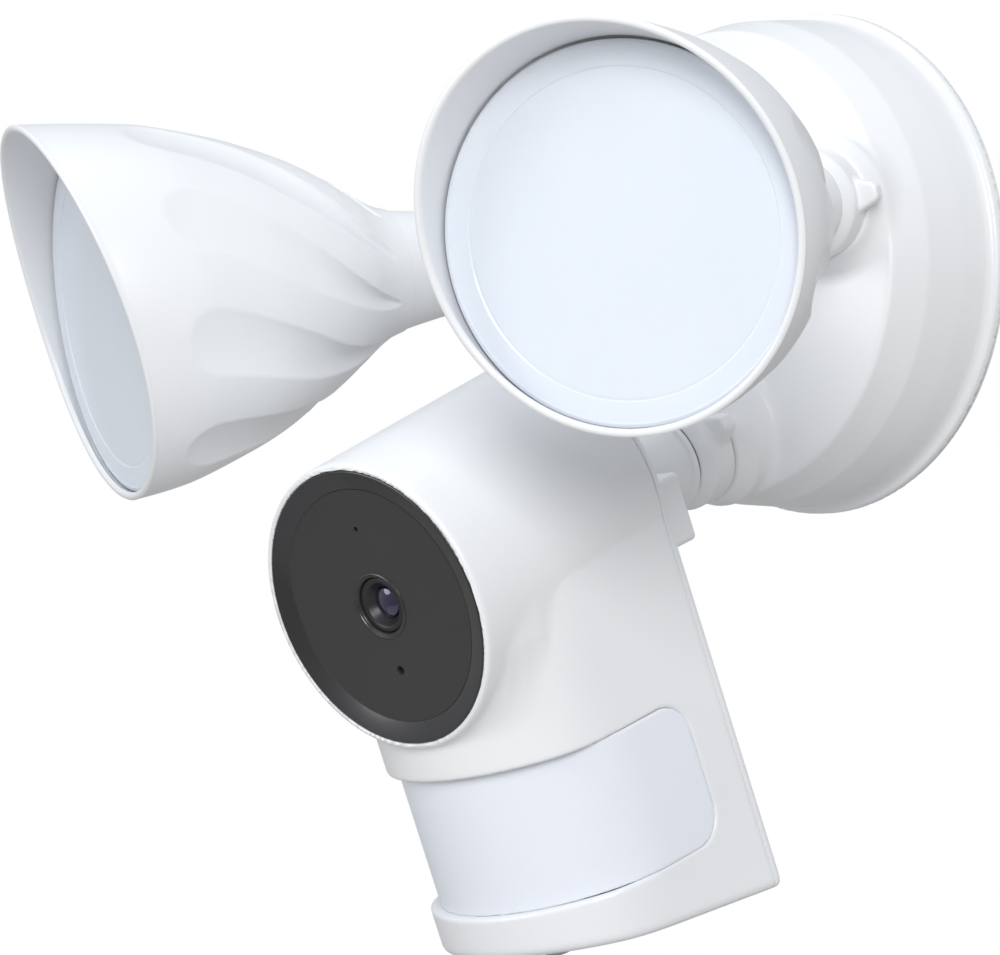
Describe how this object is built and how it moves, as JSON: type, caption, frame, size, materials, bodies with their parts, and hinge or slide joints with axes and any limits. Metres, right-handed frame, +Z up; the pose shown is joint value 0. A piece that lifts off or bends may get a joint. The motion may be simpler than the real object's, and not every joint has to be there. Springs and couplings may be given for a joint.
{
  "type": "floodlight security camera",
  "caption": "Wall-mounted security camera with a round canopy, bell-shaped floodlights and a pitched camera head, each on a lockable ball joint.",
  "frame": {"origin": "centre of the two junction-box screw slots, on the wall plane", "axes": "+Z up, +Y into the wall, so the lamps and camera face -Y; +X to the right seen from the front"},
  "size_m": [0.277, 0.1946, 0.2282],
  "materials": {
    "white_shell": "satin white moulded plastic, fine grain",
    "white_dull": "dull white moulded plastic",
    "diffuser": "pale bluish white translucent diffuser",
    "pir_white": "milky polyethylene window, faint lens pattern inside",
    "black_face": "semi-gloss black",
    "grey_face": "satin charcoal",
    "lens_black": "matt black tube",
    "lens_coated": "coated glass",
    "pale_foam": "closed-cell foam, matt",
    "seal_rubber": "matt",
    "plug_rubber": "matt grey",
    "zinc_steel": "zinc plated",
    "brass_screw": "plain",
    "cast_alu": "as cast",
    "pcb_white": "white solder mask",
    "pcb_green": "green solder mask",
    "led_yellow": "phosphor",
    "chip_black": "moulded",
    "acetal": "natural acetal",
    "can_steel": "sensor can"
  },
  "bodies": {
    "base": {"base_housing": "white_shell", "wall_gasket": "pale_foam", "wall_bracket": "zinc_steel", "canopy_screw": "zinc_steel", "led_driver": "white_dull", "lamp_connectors": "acetal", "terminal_block": "chip_black", "terminal_screws": "brass_screw"},
    "left_ring": {"left_lock_ring": "white_shell"},
    "left_seat": {"left_ball_seat": "acetal"},
    "left_ball": {"left_ball_stem": "white_dull", "left_stem_nut": "zinc_steel"},
    "right_ring": {"right_lock_ring": "white_shell"},
    "right_seat": {"right_ball_seat": "acetal"},
    "right_ball": {"right_ball_stem": "white_dull", "right_stem_nut": "zinc_steel"},
    "camera_ring": {"camera_lock_ring": "white_shell"},
    "camera_seat": {"camera_ball_seat": "acetal"},
    "camera_ball": {"camera_ball_stem": "white_dull", "camera_stem_nut": "zinc_steel"},
    "left_lamp": {"left_lamp_neck": "white_shell", "left_lamp_shell": "white_shell", "left_lamp_lens": "diffuser", "left_lens_gasket": "seal_rubber", "left_heat_sink": "cast_alu", "left_led_board": "pcb_white", "left_led_chips": "led_yellow", "left_sink_screws": "zinc_steel"},
    "right_lamp": {"right_lamp_neck": "white_shell", "right_lamp_shell": "white_shell", "right_lamp_lens": "diffuser", "right_lens_gasket": "seal_rubber", "right_heat_sink": "cast_alu", "right_led_board": "pcb_white", "right_led_chips": "led_yellow", "right_sink_screws": "zinc_steel"},
    "camera_unit": {"camera_arm": "white_shell", "camera_housing": "white_shell", "rear_cover": "white_shell", "rear_seal": "seal_rubber", "cover_screws": "zinc_steel", "face_bezel": "black_face", "face_panel": "grey_face", "lens_ring": "black_face", "lens_barrel": "lens_black", "lens_glass": "lens_coated", "image_sensor": "chip_black", "microphone": "can_steel", "light_sensor": "chip_black", "pir_window": "pir_white", "pir_board": "pcb_green", "pir_sensors": "can_steel", "main_board": "pcb_green", "wifi_module": "can_steel", "camera_connector": "acetal", "speaker": "chip_black", "bottom_plug": "plug_rubber"},
    "reset_key": {"reset_button": "plug_rubber"}
  },
  "joints": [
    {"name": "left_lock_turn", "type": "hinge", "parent": "base", "child": "left_ring", "pos_m": [-0.04293, -0.04634, 0.00975], "axis": [-0.3874, -0.9149, -0.1132], "range_deg": [0, 30]},
    {"name": "left_pan", "type": "hinge", "parent": "base", "child": "left_seat", "pos_m": [-0.04293, -0.04634, 0.00975], "axis": [0, 0, 1], "range_deg": [-18, 2]},
    {"name": "left_tilt", "type": "hinge", "parent": "left_seat", "child": "left_ball", "pos_m": [-0.04293, -0.04634, 0.00975], "axis": [1, 0, 0], "range_deg": [-16, 6]},
    {"name": "left_spin", "type": "hinge", "parent": "left_ball", "child": "left_lamp", "pos_m": [-0.04293, -0.04634, 0.00975], "axis": [-0.3874, -0.9149, -0.1132], "range_deg": [-60, 60]},
    {"name": "right_lock_turn", "type": "hinge", "parent": "base", "child": "right_ring", "pos_m": [0.04293, -0.04634, 0.00975], "axis": [0.3874, -0.9149, -0.1132], "range_deg": [0, 30]},
    {"name": "right_pan", "type": "hinge", "parent": "base", "child": "right_seat", "pos_m": [0.04293, -0.04634, 0.00975], "axis": [0, 0, 1], "range_deg": [-2, 18]},
    {"name": "right_tilt", "type": "hinge", "parent": "right_seat", "child": "right_ball", "pos_m": [0.04293, -0.04634, 0.00975], "axis": [1, 0, 0], "range_deg": [-16, 6]},
    {"name": "right_spin", "type": "hinge", "parent": "right_ball", "child": "right_lamp", "pos_m": [0.04293, -0.04634, 0.00975], "axis": [0.3874, -0.9149, -0.1132], "range_deg": [-60, 60]},
    {"name": "camera_lock_turn", "type": "hinge", "parent": "base", "child": "camera_ring", "pos_m": [0, -0.04896, -0.0451], "axis": [0, -0.9489, -0.3156], "range_deg": [0, 30]},
    {"name": "camera_pan", "type": "hinge", "parent": "base", "child": "camera_seat", "pos_m": [0, -0.04896, -0.0451], "axis": [0, 0, 1], "range_deg": [-8, 8]},
    {"name": "camera_tilt", "type": "hinge", "parent": "camera_seat", "child": "camera_ball", "pos_m": [0, -0.04896, -0.0451], "axis": [1, 0, 0], "range_deg": [-3, 16]},
    {"name": "camera_spin", "type": "hinge", "parent": "camera_ball", "child": "camera_unit", "pos_m": [0, -0.04896, -0.0451], "axis": [0, -0.9489, -0.3156], "range_deg": [-20, 20]},
    {"name": "reset_press", "type": "slide", "parent": "camera_unit", "child": "reset_key", "axis": [0, -0.3156, 0.9489], "range_m": [0, 0.0008], "stiffness_N_per_m": 400}
  ]
}
